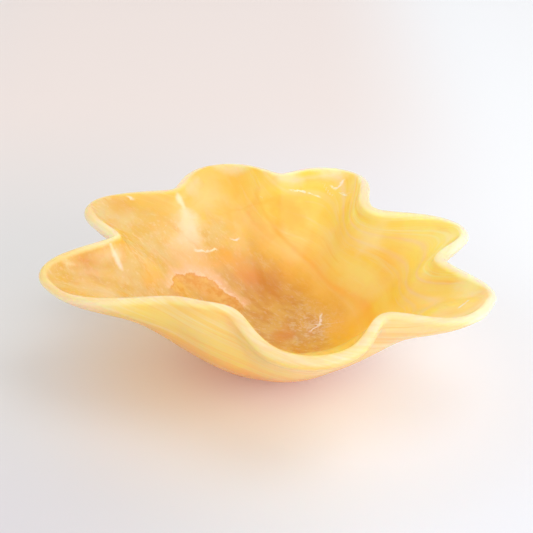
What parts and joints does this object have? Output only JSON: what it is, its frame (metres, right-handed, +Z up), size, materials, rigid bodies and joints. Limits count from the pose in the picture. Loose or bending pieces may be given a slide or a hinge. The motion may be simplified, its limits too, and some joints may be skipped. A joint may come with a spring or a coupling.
{
  "type": "mexican onyx bowl",
  "caption": "Shallow open bowl carved from one block of banded onyx, with a fluted, lobed rim, a rounded lip and a flat foot; it holds fruit or stands empty as an ornament.",
  "frame": {"origin": "centre of the flat foot, on the surface that the bowl stands on", "axes": "+Z up, square to the foot; +X to the bowl's right and +Y to its back as the picture shows it"},
  "size_m": [0.385, 0.404, 0.1172],
  "materials": {
    "onyx": "polished honey-coloured banded onyx, slightly translucent at the lip"
  },
  "bodies": {
    "root": {"bowl": "onyx"}
  },
  "joints": []
}
